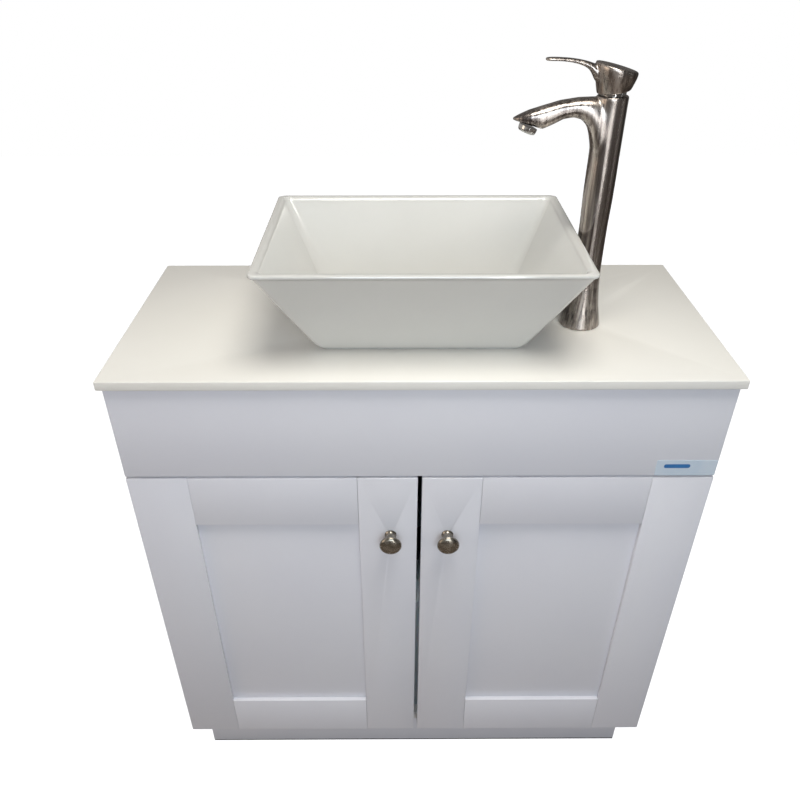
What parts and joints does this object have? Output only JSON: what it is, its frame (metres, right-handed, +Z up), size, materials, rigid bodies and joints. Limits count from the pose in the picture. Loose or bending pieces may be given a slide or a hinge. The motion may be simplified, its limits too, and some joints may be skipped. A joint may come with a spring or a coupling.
{
  "type": "portable handwash sink",
  "caption": "Self-contained handwash sink: white two-door cabinet on a plinth, slab counter, rectangular vessel basin and tall single-lever tap, with tanks, pump and heater inside.",
  "frame": {"origin": "centre of the object's box at floor level", "axes": "+X to the right facing the doors, +Y towards the back, +Z up"},
  "size_m": [0.775, 0.379, 1.132],
  "materials": {
    "white_paint": "satin white painted board",
    "carcass_board": "white melamine-faced board",
    "solid_surface": "off-white solid surface, fine matt polish",
    "ceramic": "glossy white glaze",
    "brushed_nickel": "brushed nickel",
    "steel": "bright steel",
    "braided_steel": "braided stainless sleeve",
    "brass": "turned brass",
    "rubber": "black",
    "black_plastic": "fine moulded texture",
    "white_plastic": "smooth moulded",
    "fresh_tank_plastic": "natural translucent polyethylene",
    "waste_tank_plastic": "grey polyethylene",
    "clear_hose": "milky flexible tube"
  },
  "bodies": {
    "cabinet": {"toe_kick": "white_paint", "plinth_frame": "white_paint", "left_side_panel": "white_paint", "right_side_panel": "white_paint", "false_front": "white_paint", "cabinet_floor": "carcass_board", "front_rail": "carcass_board", "rear_rail": "carcass_board", "back_panel": "carcass_board", "countertop": "solid_surface", "basin": "ceramic", "tap_body": "brushed_nickel", "drain_body": "steel", "tap_aerator": "steel", "pump_motor": "steel", "hinge_top_left": "steel", "hinge_top_right": "steel", "hinge_bottom_left": "steel", "hinge_bottom_right": "steel", "cold_supply_hose": "braided_steel", "hot_supply_hose": "braided_steel", "heater_feed_hose": "braided_steel", "tap_shank": "brass", "tap_nut": "brass", "outlet_tee": "brass", "glide_front_left": "rubber", "glide_front_right": "rubber", "glide_rear_left": "rubber", "glide_rear_right": "rubber", "power_inlet": "black_plastic", "switch_frame": "black_plastic", "pump_head": "black_plastic", "drain_nut": "white_plastic", "tailpiece": "white_plastic", "tap_cartridge": "white_plastic", "water_heater": "white_plastic", "fresh_tank": "fresh_tank_plastic", "waste_tank": "waste_tank_plastic", "drain_hose": "clear_hose", "suction_hose": "clear_hose", "inlet_strainer": "clear_hose"},
    "left_door": {"left_door_hinge_stile": "white_paint", "left_door_lock_stile": "white_paint", "left_door_top_rail": "white_paint", "left_door_bottom_rail": "white_paint", "left_door_panel": "white_paint", "left_knob": "brushed_nickel"},
    "right_door": {"right_door_hinge_stile": "white_paint", "right_door_lock_stile": "white_paint", "right_door_top_rail": "white_paint", "right_door_bottom_rail": "white_paint", "right_door_panel": "white_paint", "right_knob": "brushed_nickel"},
    "tap_swivel": {"tap_dome": "brushed_nickel"},
    "tap_handle": {"tap_lever": "brushed_nickel"},
    "stopper": {"drain_stopper": "steel"},
    "waste_tank_cap": {"waste_cap": "black_plastic"},
    "fresh_tank_cap": {"fresh_cap": "black_plastic"},
    "thermostat": {"thermostat_knob": "black_plastic"},
    "rocker": {"switch_rocker": "black_plastic"}
  },
  "joints": [
    {"name": "left_door_hinge", "type": "hinge", "parent": "cabinet", "child": "left_door", "pos_m": [-0.377, -0.152, 0.39], "axis": [0, 0, -1], "range_deg": [0, 110]},
    {"name": "right_door_hinge", "type": "hinge", "parent": "cabinet", "child": "right_door", "pos_m": [0.377, -0.152, 0.39], "axis": [0, 0, 1], "range_deg": [0, 110]},
    {"name": "tap_temperature", "type": "hinge", "parent": "cabinet", "child": "tap_swivel", "pos_m": [0.215, -0.0125, 1.096], "axis": [0, 0, 1], "range_deg": [-45, 45]},
    {"name": "tap_flow", "type": "hinge", "parent": "tap_swivel", "child": "tap_handle", "pos_m": [0.215, -0.0125, 1.096], "axis": [0, 1, 0], "range_deg": [0, 17]},
    {"name": "stopper_travel", "type": "slide", "parent": "cabinet", "child": "stopper", "axis": [0, 0, 1], "range_m": [0, 0.009]},
    {"name": "waste_cap_turn", "type": "hinge", "parent": "cabinet", "child": "waste_tank_cap", "pos_m": [-0.1935, -0.0385, 0.47], "axis": [0, 0, 1], "range_deg": [0, 360]},
    {"name": "fresh_cap_turn", "type": "hinge", "parent": "cabinet", "child": "fresh_tank_cap", "pos_m": [0.0225, -0.0385, 0.44], "axis": [0, 0, 1], "range_deg": [0, 360]},
    {"name": "thermostat_turn", "type": "hinge", "parent": "cabinet", "child": "thermostat", "pos_m": [0.2745, -0.0985, 0.2753], "axis": [0, 1, 0], "range_deg": [0, 270]},
    {"name": "switch_rock", "type": "hinge", "parent": "cabinet", "child": "rocker", "pos_m": [0.2965, 0.1792, 0.232], "axis": [0, 0, 1], "range_deg": [0, 12]}
  ]
}
